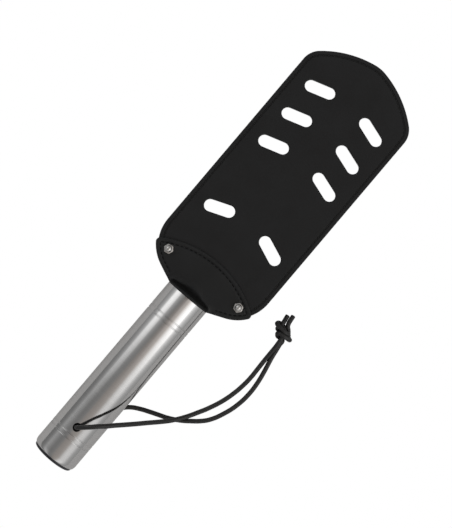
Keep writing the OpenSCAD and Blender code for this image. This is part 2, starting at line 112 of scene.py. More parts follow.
# ------------------------ settings

def option(kind, convert=float, **limits):
    """A maker of one kind of setting, from its name, its default and its description."""
    def make(name, default, description):
        return kind(name=name, default=convert(default), description=description, **limits)
    return make


# Lengths are given in millimetres and angles in degrees
length = option(FloatProperty, lambda size: size * MM, unit="LENGTH", min=0, precision=5)
angle = option(FloatProperty, math.radians, subtype="ANGLE")
share = option(FloatProperty, subtype="FACTOR", min=0, max=1)
amount = option(FloatProperty, min=0)
count = option(IntProperty, int, min=2)
colour = option(FloatVectorProperty, tuple, subtype="COLOR", size=3, min=0, max=1)


class CordSettings(bpy.types.PropertyGroup):
    diameter: length("Diameter", 3.8, "Diameter of the cord")
    front_length: length("Front length", 285, "Length of the front strand")
    back_length: length("Back length", 262, "Length of the back strand")
    tint: colour("Colour", (0.012, 0.012, 0.012), "Colour of the cord")
    roughness: share("Roughness", 0.42, "Roughness of the cord")
    braid_pitch: length("Braid pitch", 2.4, "Length of one turn of the braid")
    braid_strands: count("Braid strands", 8, "Strands of the braid around the cord")


class LeatherSettings(bpy.types.PropertyGroup):
    blade_tint: colour("Blade colour", (0.0074, 0.0081, 0.0089), "Colour of the blade's leather")
    cuff_tint: colour("Cuff colour", (0.0089, 0.0099, 0.0106), "Colour of the cuff's leather")
    blade_edge: colour("Blade edge", (0.02, 0.02, 0.02), "Colour of the blade's painted cut edges")
    cuff_edge: colour("Cuff edge", (0.004, 0.004, 0.004), "Colour of the cuff's painted cut edges")
    roughness: share("Roughness", 0.5, "Roughness of the leather")
    edge_round: length("Edge rounding", 0.8, "Rounding of the leather's cut edges")
    groove_round: length("Groove rounding", 0.3, "Rounding of the seam groove's edges")
    voxel: length("Cuff detail", 0.42, "Size of the faces that the cuff is made of")
    corner_round: length("Cuff corners", 4.5, "Rounding of the cuff's two side corners")


class StitchSettings(bpy.types.PropertyGroup):
    pitch: length("Pitch", 3.95, "Distance from one stitch to the next")
    run: length("Length", 2.9, "Length of a stitch")
    width: length("Width", 0.8, "Width of the thread")
    inset: length("Inset", 3.7, "Distance from the leather's edge to the seam")
    blade_tint: colour("Blade thread", (0.0095, 0.0095, 0.0098), "Colour of the blade's thread")
    blade_shine: share("Blade thread shine", 0.38, "Reflection of the blade's thread")
    cuff_tint: colour("Cuff thread", (0.004, 0.004, 0.004), "Colour of the cuff's thread")
    cuff_shine: share("Cuff thread shine", 0.16, "Reflection of the cuff's thread")


class HandleSettings(bpy.types.PropertyGroup):
    sides: count("Sides", 192, "Sides of the round tube")
    wall: length("Wall", 1.5, "Thickness of the tube's wall")
    ring_width: length("Groove width", 1, "Width of a turned groove")
    ring_depth: length("Groove depth", 0.34, "Depth of a turned groove")
    hole: length("Cord hole", 6, "Diameter of the cord hole")
    tint: colour("Colour", (0.612, 0.612, 0.61), "Colour of the steel")
    roughness: share("Roughness", 0.085, "Roughness of the polished steel")
    plug_tint: colour("Plug colour", (0.012, 0.013, 0.018), "Colour of the butt plug")


class BoltSettings(bpy.types.PropertyGroup):
    nut_flats: length("Nut flats", 7, "Width of the cap nut across its flats")
    nut_hex_height: length("Hexagon height", 3.2, "Height of the cap nut's hexagon")
    dome: length("Dome", 6, "Diameter of the cap nut's dome")
    left_turn: angle("Left nut turn", 10, "Turn of the left cap nut")
    right_turn: angle("Right nut turn", 48, "Turn of the right cap nut")
    tint: colour("Colour", (0.6, 0.595, 0.58), "Colour of the bolts and nuts")
    roughness: share("Roughness", 0.24, "Roughness of the bolts and nuts")


class StageSettings(bpy.types.PropertyGroup):
    floor_tint: colour("Floor colour", (0.6, 0.6, 0.6), "Colour of the floor")
    floor_glow: amount("Floor glow", 0.12, "Light that the floor gives by itself")
    room: amount("Room", 1, "Brightness of the room's light")
    camera_height: length("Camera height", 1000, "Height of the camera above the handle's axis")
    camera_turn: angle("Camera turn", 40.28, "Turn of the camera about its view")
    lens: amount("Lens", 86.5, "Focal length in millimetres")


def settings(name):
    return getattr(bpy.context.scene, "paddle_" + name)


# ------------------------ modelling helpers

def deselect_all():
    if bpy.context.mode != "OBJECT":
        bpy.ops.object.mode_set(mode="OBJECT")
    bpy.ops.object.select_all(action="DESELECT")


def activate(obj):
    deselect_all()
    obj.select_set(True)
    bpy.context.view_layer.objects.active = obj


def modify(obj, kind, **values):
    """Adds a modifier and applies it."""
    activate(obj)
    modifier = obj.modifiers.new(kind.title(), kind)
    for key, value in values.items():
        setattr(modifier, key, value)
    bpy.ops.object.modifier_apply(modifier=modifier.name)


def carve(obj, tool, operation="DIFFERENCE"):
    """Cuts a tool's shape from a piece, joins it or keeps what both share, and removes the tool."""
    modify(obj, "BOOLEAN", operation=operation, object=tool, solver="EXACT")
    bpy.data.objects.remove(tool)


def apply_place(obj):
    activate(obj)
    bpy.ops.object.transform_apply(location=True, rotation=True, scale=True)


def smooth(obj, degrees):
    activate(obj)
    bpy.ops.object.shade_smooth_by_angle(angle=math.radians(degrees))


def even_shading(obj, degrees):
    """Shades a shape smoothly up to an angle, with its large faces kept flat."""
    smooth(obj, degrees)
    modify(obj, "WEIGHTED_NORMAL", keep_sharp=True)


def edit_all(kind, action):
    """Enters edit mode with everything or nothing selected, by vertices or edges."""
    bpy.ops.object.mode_set(mode="EDIT")
    bpy.ops.mesh.select_mode(type=kind)
    bpy.ops.mesh.select_all(action=action)


def ring_out(height, radius, last_height, last_radius):
    """Extrudes the selected ring to its next place on a turned profile, as on a lathe."""
    bpy.ops.mesh.extrude_edges_move(TRANSFORM_OT_translate={"value": (0, 0, height - last_height)})
    if radius == 0:
        bpy.ops.mesh.merge(type="CENTER")
    elif radius != last_radius:
        k = radius / last_radius
        bpy.ops.transform.resize(value=(k, k, 1), center_override=(0, 0, height))


def turned(name, profile, sides):
    """A turned shape about Z, from (height, radius) pairs in millimetres.

    A profile that starts and ends on the axis is solid. One that ends where it starts is a ring.
    """
    rings = [(h * MM, r * MM) for h, r in profile]
    solid = rings[0][1] == 0
    first = rings[1] if solid else rings[0]
    deselect_all()
    bpy.ops.mesh.primitive_circle_add(vertices=sides, radius=first[1], location=(0, 0, first[0]))
    obj = bpy.context.active_object
    obj.name = name
    apply_place(obj)
    edit_all("EDGE", "SELECT")
    if solid:
        ring_out(rings[0][0], 0, *first)
        bpy.ops.mesh.select_all(action="DESELECT")
        bpy.ops.mesh.select_mode(type="VERT")
        bpy.ops.mesh.select_non_manifold(extend=False)
        bpy.ops.mesh.select_mode(type="EDGE")
    last = first
    for ring in rings[rings.index(first) + 1:]:
        ring_out(*ring, *last)
        last = ring
    bpy.ops.mesh.select_all(action="SELECT")
    bpy.ops.mesh.remove_doubles(threshold=0.001 * MM)
    bpy.ops.mesh.normals_make_consistent(inside=False)
    bpy.ops.object.mode_set(mode="OBJECT")
    return obj


def lay_along_handle(obj, y):
    """Lays a shape that stands along Z on the handle's axis, with its foot at y."""
    obj.rotation_euler = (-math.pi / 2, 0, 0)
    obj.location = (0, y, AXIS_Z)
    apply_place(obj)


def prism(name, sides, radius, low, high):
    """An upright prism, with a corner towards +X. Its sizes are in metres."""
    deselect_all()
    bpy.ops.mesh.primitive_cylinder_add(
        vertices=sides, radius=radius, depth=high - low, location=(0, 0, (low + high) / 2),
        rotation=(0, 0, math.pi / 2),
    )
    obj = bpy.context.active_object
    obj.name = name
    apply_place(obj)
    return obj


def new_object(name, data):
    obj = bpy.data.objects.new(name, data)
    bpy.context.scene.collection.objects.link(obj)
    return obj


def copy_of(obj, matrix):
    """A copy of a finished shape, with its own mesh, put in its place."""
    twin = new_object(obj.name, obj.data.copy())
    twin.matrix_world = matrix
    return twin


def join(pieces):
    deselect_all()
    for piece in pieces:
        piece.select_set(True)
    bpy.context.view_layer.objects.active = pieces[0]
    bpy.ops.object.join()
    return bpy.context.active_object


def node_copy(node):
    """A new object with a CAD node's shape, its loose triangles merged into flat faces."""
    obj = new_object(node, NODES[node].data.copy())
    activate(obj)
    bpy.ops.mesh.customdata_custom_splitnormals_clear()
    edit_all("VERT", "SELECT")
    bpy.ops.mesh.remove_doubles(threshold=0.002 * MM)
    bpy.ops.mesh.dissolve_limited(angle_limit=math.radians(0.5))
    bpy.ops.object.mode_set(mode="OBJECT")
    return obj


def select_parts(obj, kind, test):
    """Enters edit mode with only those edges, or vertices, selected that pass the test."""
    activate(obj)
    edit_all(kind, "DESELECT")
    shape = bmesh.from_edit_mesh(obj.data)
    shape.normal_update()
    for part in shape.edges if kind == "EDGE" else shape.verts:
        part.select = test(part)
    shape.select_flush_mode()
    bmesh.update_edit_mesh(obj.data)


def dress(obj, material):
    obj.data.materials.clear()
    obj.data.materials.append(material)


def finish_piece(obj, name, material, node):
    """Names a finished piece, gives it its material and puts it on the paddle for its node."""
    apply_place(obj)
    obj.name = name
    obj.data.name = name
    dress(obj, material)
    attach(obj, "root")
    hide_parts(node)


# ------------------------ materials

def feed(socket, value):
    """Links a socket to another, or sets its value."""
    if isinstance(value, bpy.types.NodeSocket):
        socket.id_data.links.new(value, socket)
    else:
        socket.default_value = value


def fill(node, **values):
    """Feeds a node's sockets, with underscores for spaces, and sets its small-letter settings."""
    for key, value in values.items():
        if key[0].isupper():
            feed(node.inputs[key.replace("_", " ")], value)
        else:
            setattr(node, key, value)
    return node


def add(tree, kind, **values):
    """A new shader node of a kind, with its sockets fed."""
    return fill(tree.nodes.new("ShaderNode" + kind), **values)


def math_node(operation, *values, kind="Math"):
    """A math node. Each value is a number or a socket to link, and at least one is a socket."""
    tree = next(value.id_data for value in values if isinstance(value, bpy.types.NodeSocket))
    node = add(tree, kind, operation=operation)
    for socket, value in zip(node.inputs, values):
        feed(socket, value)
    return node.outputs[0]


def times(first, second):
    return math_node("MULTIPLY", first, second)


def spread(value, low, high, from_low=0.3, from_high=0.7):
    """Maps one range onto another. A slow noise runs from about 0.3 to 0.7."""
    node = add(
        value.id_data, "MapRange", Value=value, From_Min=from_low, From_Max=from_high,
        To_Min=low, To_Max=high,
    )
    return node.outputs["Result"]


def blend(factor, first, second):
    """A colour between two, by a factor socket. A colour is a socket or three numbers."""
    node = add(factor.id_data, "Mix", data_type="RGBA")
    feed(node.inputs[0], factor)
    for socket, tone in ((node.inputs[6], first), (node.inputs[7], second)):
        feed(socket, tone if isinstance(tone, bpy.types.NodeSocket) else (*tone, 1))
    return node.outputs[2]


def shades(factor, tint, dark, light):
    """A colour that runs from a darker to a lighter shade of a tint, by a factor socket."""
    first, second = ([min(1, channel * k) for channel in tint] for k in (dark, light))
    return blend(factor, first, second)


def bump(shader, height, strength, distance):
    node = add(shader.id_data, "Bump", Strength=strength, Distance=distance, Height=height)
    fill(shader, Normal=node.outputs["Normal"])


def new_material(name):
    """A material with only its output and a Principled shader."""
    material = bpy.data.materials.new(name)
    material.use_nodes = True
    tree = material.node_tree
    tree.nodes.clear()
    shader = add(tree, "BsdfPrincipled")
    add(tree, "OutputMaterial", Surface=shader.outputs["BSDF"])
    return material, tree, shader


def place_on(tree, kind="Object"):
    """Where a spot is on its piece, or another coordinate of it."""
    return add(tree, "TexCoord").outputs[kind]


def new_group(name, inputs, outputs):
    """An empty shader node group and its two end nodes. None stands for a plain vector."""
    tree = bpy.data.node_groups.new(name, "ShaderNodeTree")
    for label, default in inputs.items():
        kind = "NodeSocketFloat" if isinstance(default, float) else "NodeSocketVector"
        socket = tree.interface.new_socket(label, in_out="INPUT", socket_type=kind)
        if default is not None:
            socket.default_value = default
    for label in outputs:
        tree.interface.new_socket(label, in_out="OUTPUT", socket_type="NodeSocketFloat")
    return tree, tree.nodes.new("NodeGroupInput").outputs, tree.nodes.new("NodeGroupOutput")


def noise(vector, **values):
    return add(vector.id_data, "TexNoise", Vector=vector, **values).outputs


def grain_group(name):
    """Leather grain: small cells with creases between them, and slow cloudiness."""
    tree, source, sink = new_group(
        name, {"Vector": None, "Cell size": 1100.0, "Cloud size": 45.0}, ["Height", "Cloud"]
    )
    vector = source["Vector"]
    warp = noise(vector, Scale=420.0, Detail=2.0)["Color"]
    shift = math_node("MULTIPLY_ADD", warp, (0.0007, 0.0007, 0.0007), vector, kind="VectorMath")
    cells = add(
        tree, "TexVoronoi", feature="DISTANCE_TO_EDGE", Vector=shift, Scale=source["Cell size"]
    )
    crease = add(
        tree, "MapRange", interpolation_type="SMOOTHSTEP", From_Min=0.0, From_Max=0.2,
        Value=cells.outputs["Distance"],
    )
    pores = noise(vector, Scale=3000.0, Detail=3.0, Roughness=0.6)["Fac"]
    height = math_node("MULTIPLY_ADD", pores, 0.4, crease.outputs["Result"])
    cloud = noise(vector, Scale=source["Cloud size"], Detail=4.0, Roughness=0.55)["Fac"]
    fill(sink, Height=height, Cloud=cloud)
    return tree


def polish_group(name):
    """Worked metal: fine tool lines, stretched along one way, and faint smudges."""
    tree, source, sink = new_group(
        name, {"Vector": None, "Stretch": (60.0, 2400.0, 60.0), "Smudge size": 30.0},
        ["Lines", "Smudges"],
    )
    vector = source["Vector"]
    drawn = math_node("MULTIPLY", vector, source["Stretch"], kind="VectorMath")
    lines = noise(drawn, Scale=1.0, Detail=4.0, Roughness=0.6)["Fac"]
    smudges = noise(
        vector, Scale=source["Smudge size"], Detail=5.0, Roughness=0.6, Distortion=0.6
    )["Fac"]
    fill(sink, Lines=lines, Smudges=smudges)
    return tree


def edge_group(name):
    """A mask of the upright cut edges of a flat piece, from its normals."""
    tree, source, sink = new_group(name, {"Normal": None}, ["Mask"])
    parts = add(tree, "SeparateXYZ", Vector=source["Normal"])
    upright = math_node("ABSOLUTE", parts.outputs["Z"])
    fill(sink, Mask=spread(upright, 1.0, 0.0, 0.25, 0.8))
    return tree


def shared(tree, name, build, **values):
    """The outputs of a node that uses a shared group, which is built when it is first asked for."""
    group = bpy.data.node_groups.get(name) or build(name)
    return add(tree, "Group", node_tree=group, **values).outputs


def grained(tree, cell_size):
    return shared(tree, "Leather grain", grain_group, Vector=place_on(tree), Cell_size=cell_size)


def leather(name, tint, edge_tint, cell_size):
    """Black leather with fine grain and painted cut edges."""
    roughness = settings("leather").roughness
    material, tree, shader = new_material(name)
    grain = grained(tree, cell_size)
    edge = shared(tree, "Cut edge", edge_group, Normal=place_on(tree, "Normal"))["Mask"]
    clouds = shades(spread(grain["Cloud"], 0, 1), tint, 0.82, 1.2)
    rough = spread(grain["Cloud"], roughness - 0.03, roughness + 0.04)
    fill(
        shader, Base_Color=blend(edge, clouds, edge_tint),
        Roughness=math_node("MULTIPLY_ADD", edge, -0.08, rough), Specular_IOR_Level=0.34,
    )
    bump(shader, grain["Height"], 0.3, 0.06 * MM)
    return material


def metal(name, tint, roughness, stretch, lines, depth=0.0):
    """Worked metal with fine tool lines and faint smudges."""
    material, tree, shader = new_material(name)
    polish = shared(tree, "Metal polish", polish_group, Stretch=stretch, Vector=place_on(tree))
    rough = spread(polish["Smudges"], roughness - 0.02, roughness + 0.03)
    fill(
        shader, Metallic=1.0,
        Base_Color=shades(spread(polish["Lines"], 0, 1), tint, 0.96, 1.03),
        Roughness=math_node("MULTIPLY_ADD", polish["Lines"], lines, rough),
    )
    if depth:
        bump(shader, polish["Lines"], 0.5, depth)
    return material


def plastic(name, tint):
    """Moulded plastic with a fine spark-eroded texture."""
    material, tree, shader = new_material(name)
    grain = grained(tree, 2600.0)
    fill(
        shader, Base_Color=shades(spread(grain["Cloud"], 0, 1), tint, 0.85, 1.2),
        Roughness=spread(grain["Cloud"], 0.36, 0.46),
    )
    bump(shader, grain["Height"], 0.25, 0.02 * MM)
    return material


def fibre_board(name):
    """Pressed fibre board, in short mixed fibres."""
    material, tree, shader = new_material(name)
    polish = shared(
        tree, "Metal polish", polish_group, Stretch=(900.0, 140.0, 900.0), Smudge_size=90.0,
        Vector=place_on(tree),
    )
    tone = blend(spread(polish["Lines"], 0, 1), (0.24, 0.17, 0.11), (0.4, 0.31, 0.21))
    fill(shader, Base_Color=tone, Roughness=spread(polish["Smudges"], 0.8, 0.95))
    bump(shader, polish["Lines"], 0.5, 0.05 * MM)
    return material


def thread_material(name, tint, shine):
    """Waxed twisted thread."""
    material, tree, shader = new_material(name)
    twist = add(
        tree, "TexWave", Scale=420.0, Distortion=1.5, bands_direction="DIAGONAL",
        Vector=place_on(tree),
    ).outputs["Fac"]
    fill(
        shader, Base_Color=shades(twist, tint, 0.6, 1.5), Specular_IOR_Level=shine,
        Roughness=spread(twist, 0.6, 0.75, 0, 1),
    )
    bump(shader, twist, 0.4, 0.05 * MM)
    return material


def cord_material():
    """Round waxed cord with a fine braid that follows its length."""
    cord = settings("cord")
    material, tree, shader = new_material("Cord")
    parts = add(tree, "SeparateXYZ", Vector=place_on(tree, "UV")).outputs
    turns = times(parts["X"], cord.back_length / cord.braid_pitch)
    around = times(parts["Y"], cord.braid_strands / 2)
    waves = []
    for slant in ("ADD", "SUBTRACT"):
        along = math_node(slant, turns, around)
        waves.append(math_node("SINE", times(along, 2 * math.pi)))
    braid = math_node("MAXIMUM", *waves)
    grain = grained(tree, 1500.0)
    tone = shades(spread(braid, 0, 1, -0.2, 1), cord.tint, 0.75, 1.2)
    rough = spread(grain["Cloud"], cord.roughness - 0.04, cord.roughness + 0.05)
    fill(shader, Base_Color=tone, Roughness=rough)
    height = math_node("MULTIPLY_ADD", grain["Height"], 0.3, braid)
    bump(shader, height, 0.16, 0.08 * MM)
    return material


# ------------------------ camera and cord

# The point that the camera looks straight down at
VIEW_CENTRE = (6.2 * MM, 4.35 * MM)


class PADDLE_OT_camera(bpy.types.Operator):
    """Place the camera straight above the paddle"""

    bl_idname = "paddle.camera"
    bl_label = "Camera"

    def execute(self, context):
        stage = settings("stage")
        camera = new_object("Camera", bpy.data.cameras.new("Camera"))
        camera.location = (*VIEW_CENTRE, AXIS_Z + stage.camera_height)
        camera.rotation_euler = (0, 0, stage.camera_turn)
        camera.data.lens = stage.lens
        camera.data.clip_start = 0.01
        context.scene.camera = camera
        return {"FINISHED"}


def strand(name, route, material):
    """One strand of the cord, from the middle of the handle through the knot to its cut end."""
    curve = bpy.data.curves.new(name, "CURVE")
    curve.dimensions = "3D"
    curve.bevel_depth = settings("cord").diameter / 2
    curve.bevel_resolution = 5
    curve.resolution_u = 6
    curve.use_fill_caps = True
    spline = curve.splines.new("BEZIER")
    spline.bezier_points.add(len(route) - 1)
    for point, place in zip(spline.bezier_points, route):
        point.co = HOLE + Vector(place) * MM
        point.handle_left_type = point.handle_right_type = "AUTO"
    curve.materials.append(material)
    obj = new_object(name, curve)
    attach(obj, "root")
    return obj


class PADDLE_OT_wrist_cord(bpy.types.Operator):
    """Make the two strands of the wrist cord, tied in an overhand knot"""

    bl_idname = "paddle.wrist_cord"
    bl_label = "Wrist cord"

    def execute(self, context):
        cord = settings("cord")
        material = cord_material()
        for name, route, size, z, nodes in (
            ("front", FRONT_ROUTE, cord.front_length, TUBE_HIGH.z, ("front_cord", "cord_knot")),
            ("back", BACK_ROUTE, cord.back_length, TUBE_LOW.z, ("back_cord",)),
        ):
            piece = strand(name + "_strand", route, material)
            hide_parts(*nodes)
        return {"FINISHED"}


# ------------------------ leather

SIDES = (("front", 1), ("back", -1))
LEVEL = 0.01 * MM  # how far from a face a corner may be and still lie in it
SHARP = 1  # the least turn between the faces at a cut edge, in radians
GROOVE_BELOW = 1.2 * MM  # deeper than a seam's groove, and less than the leather's thickness
# Where the cuff's shoulder is smoothed: from the mouth, to each side and by the lean of its faces
SHOULDER_START = 0.9 * MM
SHOULDER_HALF = 0.024
SHOULDER_LEAN = 0.03
# How far from the mouth each round of smoothing reaches, and how often it repeats
SHOULDER_ROUNDS = ((18 * MM, 60), (15 * MM, 120))


def outer_height(node, up):
    """The height of a node's outer face, which is its top for 1 and its underside for -1."""
    low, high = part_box(node)
    return high.z if up > 0 else low.z


class PADDLE_OT_blade(bpy.types.Operator):
    """Make the blade's two leathers with rounded edges"""

    bl_idname = "paddle.blade"
    bl_label = "Blade"

    def execute(self, context):
        look = settings("leather")
        material = leather("Blade leather", look.blade_tint, look.blade_edge, 1100.0)
        for side, up in SIDES:
            node = f"blade_{side}_leather"
            outer = outer_height(node, up)
            obj = node_copy(node)

            for least, offset, segments in (
                (GROOVE_BELOW, look.edge_round, 4), (0, look.groove_round, 2)
            ):

                def rim(edge):
                    """Whether an edge is sharp, in the outer face and above a tall enough wall."""
                    level = all(abs(v.co.z - outer) < LEVEL for v in edge.verts)
                    if not level or len(edge.link_faces) != 2 or edge.calc_face_angle() <= SHARP:
                        return False
                    depths = [abs(v.co.z - outer) for f in edge.link_faces for v in f.verts]
                    return max(depths) > least

                select_parts(obj, "EDGE", rim)
                bpy.ops.mesh.bevel(offset=offset, segments=segments)
            even_shading(obj, 35)
            finish_piece(obj, f"{side}_leather", material, node)
        return {"FINISHED"}


def round_corner(cuff, sideways, radius):
    """Rounds the corner between the cuff's top and side, on the right for 1 and the left for -1."""
    corner = cuff_corner(0)
    back = Vector((CUFF_TOP_CENTRE.y - corner.y, corner.x - CUFF_TOP_CENTRE.x)).normalized()
    down = Vector((corner.y - CUFF_SIDE_CENTRE.y, CUFF_SIDE_CENTRE.x - corner.x)).normalized()
    inward = (back + down).normalized()
    half = back.angle(down) / 2
    centre = corner + inward * radius / math.sin(half)
    middle = centre - inward * (radius * math.sin(half) + radius)
    low = CUFF_LOW.z - 40 * MM
    high = CUFF_HIGH.z + 20 * MM
    deselect_all()
    bpy.ops.mesh.primitive_cube_add(size=1)
    cutter = bpy.context.active_object
    cutter.scale = (2 * radius * MM, 3 * radius * MM, high - low)
    cutter.rotation_euler = (0, 0, math.atan2(inward.y, sideways * inward.x))
    cutter.location = (sideways * middle.x * MM, MOUTH_Y + middle.y * MM, (low + high) / 2)
    apply_place(cutter)
    disc = prism("disc", 96, radius * MM, low - MM, high + MM)
    disc.location = (sideways * centre.x * MM, MOUTH_Y + centre.y * MM, 0)
    apply_place(disc)
    carve(cutter, disc)
    carve(cuff, cutter)


class PADDLE_OT_cuff(bpy.types.Operator):
    """Make the front and back cuffs, with soft edges and a blended shoulder"""

    bl_idname = "paddle.cuff"
    bl_label = "Cuff"

    def execute(self, context):
        look = settings("leather")
        material = leather("Cuff leather", look.cuff_tint, look.cuff_edge, 1000.0)
        for side, up in SIDES:
            node = f"cuff_{side}"
            obj = node_copy(node)
            for sideways in (1, -1):
                round_corner(obj, sideways, look.corner_round / MM)
            modify(obj, "REMESH", mode="VOXEL", voxel_size=look.voxel, use_smooth_shade=True)
            modify(obj, "SMOOTH", factor=0.5, iterations=5)
            for reach, repeat in SHOULDER_ROUNDS:

                def shoulder(vert):
                    """Whether a corner lies on the outer face, between the mouth and the reach."""
                    outside = vert.normal.z * up > SHOULDER_LEAN
                    lengthwise = SHOULDER_START < vert.co.y - MOUTH_Y < reach
                    return outside and lengthwise and abs(vert.co.x) < SHOULDER_HALF

                select_parts(obj, "VERT", shoulder)
                bpy.ops.mesh.vertices_smooth(factor=0.5, repeat=repeat)
            finish_piece(obj, f"{side}_cuff", material, node)
        return {"FINISHED"}


# Outlines, in millimetres from the mouth: centre, radius, and start and end in degrees
FLANK_END = -67
BLADE_ARCS = (
    ((0, 207), 28, 90, 80), ((-9.929, 150.691), 85.178, 80, 49), ((34.8, 202.145), 17, 49, 0),
    ((18.8, 37.09), 33, 0, FLANK_END),
)
CUFF_TOP_CENTRE = Vector((0, -48.07))
CUFF_TOP_RADIUS = 84.57
CUFF_SIDE_CENTRE = Vector((19.37, 38.31))
CUFF_SIDE_RADIUS = 35
LOW_SLOPE = math.radians(23)
# How far from the mouth the seams end, and how far the first stitch is from a seam's end
BLADE_SEAM_FOOT = 13.6
CUFF_SEAM_FOOT = 5.6
SEAM_MARGIN = 1.6
STITCH_SINK = 0.26 * MM  # how deep the middle of a stitch lies under the top of its seam
STITCH_HEIGHT = 0.72  # as a share of its width
STITCH_END = 0.3  # where its ends start, from its middle, as a share of its length
STITCH_DIP = 0.14 * MM  # how far its ends dip
STITCH_SPREAD = 1.25  # how much wider its ends are


def arc(centre, radius, start, end, steps=48):
    """Points on an arc, with its angles in degrees."""
    turns = [math.radians(start + (end - start) * i / steps) for i in range(steps + 1)]
    return [Vector(centre) + radius * Vector((math.cos(a), math.sin(a))) for a in turns]


def run_down(points, foot):
    """Points with one more, where the straight lower edge beyond them reaches the foot's height."""
    last = points[-1]
    return [*points, Vector((last.x - (last.y - foot) / math.tan(LOW_SLOPE), foot))]


def mirrored(points):
    return [Vector((-p.x, p.y)) for p in points]


def whole(half):
    """The whole seam, from its right half, which starts in the middle."""
    return mirrored(reversed(half[1:])) + half


def blade_seam(inset):
    half = []
    for centre, radius, start, end in BLADE_ARCS:
        half += arc(centre, radius - inset, start, end)
    return whole(run_down(half, BLADE_SEAM_FOOT))


def cuff_corner(inset):
    """Where the top seam of the cuff meets its right side seam."""
    top = CUFF_TOP_RADIUS - inset
    side = CUFF_SIDE_RADIUS - inset
    apart = CUFF_SIDE_CENTRE - CUFF_TOP_CENTRE
    gap = apart.length
    along = (top * top - side * side + gap * gap) / (2 * gap)
    off = math.sqrt(top * top - along * along)
    ahead = apart / gap
    return CUFF_TOP_CENTRE + ahead * along + Vector((ahead.y, -ahead.x)) * off


def bearing(point, centre):
    return math.degrees(math.atan2(point.y - centre.y, point.x - centre.x))


def cuff_seams(inset):
    """The cuff's top seam, and its two side seams from the corner down to the mouth."""
    corner = cuff_corner(inset)
    top = arc(CUFF_TOP_CENTRE, CUFF_TOP_RADIUS - inset, 90, bearing(corner, CUFF_TOP_CENTRE))
    start = bearing(corner, CUFF_SIDE_CENTRE)
    side = arc(CUFF_SIDE_CENTRE, CUFF_SIDE_RADIUS - inset, start, FLANK_END)
    side = run_down(side, CUFF_SEAM_FOOT)
    return [whole(top), side, mirrored(side)]


def along(path, pitch, margin):
    """Places spread evenly along a path, each with the way it runs there."""
    steps = [(b - a).length for a, b in zip(path, path[1:])]
    total = sum(steps) - 2 * margin
    count = max(1, round(total / pitch))
    places = []
    for i in range(count + 1):
        reach = margin + total * i / count
        for start, end, step in zip(path, path[1:], steps):
            if reach <= step or end is path[-1]:
                break
            reach -= step
        way = (end - start).normalized()
        places.append((start + way * reach, way))
    return places


def one_stitch():
    """A single stitch along X, whose ends dip into the leather and spread a little."""
    stitch = settings("stitch")
    deselect_all()
    bpy.ops.mesh.primitive_uv_sphere_add(
        segments=8, ring_count=6, radius=0.5, rotation=(0, math.pi / 2, 0)
    )
    obj = bpy.context.active_object
    obj.scale = (stitch.width * STITCH_HEIGHT, stitch.width, stitch.run)
    apply_place(obj)
    select_parts(obj, "VERT", lambda vert: abs(vert.co.x) > stitch.run * STITCH_END)
    bpy.ops.transform.translate(value=(0, 0, -STITCH_DIP))
    bpy.ops.transform.resize(value=(1, STITCH_SPREAD, 1), center_override=(0, 0, 0))
    bpy.ops.object.mode_set(mode="OBJECT")
    bpy.ops.object.shade_smooth()
    return obj


class PADDLE_OT_stitching(bpy.types.Operator):
    """Sew the seams of the blade and the cuffs"""

    bl_idname = "paddle.stitching"
    bl_label = "Stitching"

    def execute(self, context):
        stitch = settings("stitch")
        model = one_stitch()
        inset = stitch.inset / MM
        for part, tint, shine, paths in (
            ("blade", stitch.blade_tint, stitch.blade_shine, [blade_seam(inset)]),
            ("cuff", stitch.cuff_tint, stitch.cuff_shine, cuff_seams(inset)),
        ):
            thread = thread_material(f"{part.title()} thread", tint, shine)
            for side, up in SIDES:
                node = f"{part}_{side}_thread"
                height = outer_height(node, up) - up * STITCH_SINK
                flip = Matrix.Rotation(0 if up > 0 else math.pi, 4, "X")
                sewn = []
                for path in paths:
                    for spot, way in along(path, stitch.pitch / MM, SEAM_MARGIN):
                        place = Vector((spot.x * MM, MOUTH_Y + spot.y * MM, height))
                        turn = Matrix.Rotation(math.atan2(way.y, way.x), 4, "Z")
                        sewn.append(copy_of(model, Matrix.Translation(place) @ turn @ flip))
                finish_piece(join(sewn), f"{part}_{side}_stitches", thread, node)
        bpy.data.objects.remove(model)
        return {"FINISHED"}


# ------------------------ handle

# The turned shapes of the handle, in millimetres
BUTT_ROUND = (4.2, 1.2)  # the rounding at the tube's butt end, along it and inwards
PLUG_ROUND = (1.4, 1.4)  # the rounding of the plug's head
PLUG_HEAD = 2.4  # how far the plug's head stands out
RING_PAIRS = (23.5, 140.5)  # from the mouth to the middle of each pair of grooves
RING_PITCH = 4.2  # from one groove of a pair to the other
PLAIN_RINGS = (3, 60, 95)  # from the mouth to rings that only keep the faces short
HOLE_ROOM = 5.5  # the same, on either side of the cord hole
MOUTH_BREAK = 0.25  # the bevel of the tube's edges at the mouth
BUTT_BREAK = 0.15  # the bevel of the bore's edge at the butt
CLEARANCE = 0.05  # the gap around the plug's body, and around the bolts' shanks
# Half of a groove, as shares of its width and depth
GROOVE = ((-0.66, 0), (-0.55, 0.04), (-0.47, 0.2), (-0.4, 0.8), (-0.28, 1))


def rounded_end(size, inwards, radius, steps):
    """Profile points of a rounded end, from its face out to the full radius."""
    turns = [math.radians(90 * i / steps) for i in range(steps + 1)]
    return [(size * (1 - math.cos(a)), radius - inwards + inwards * math.sin(a)) for a in turns]


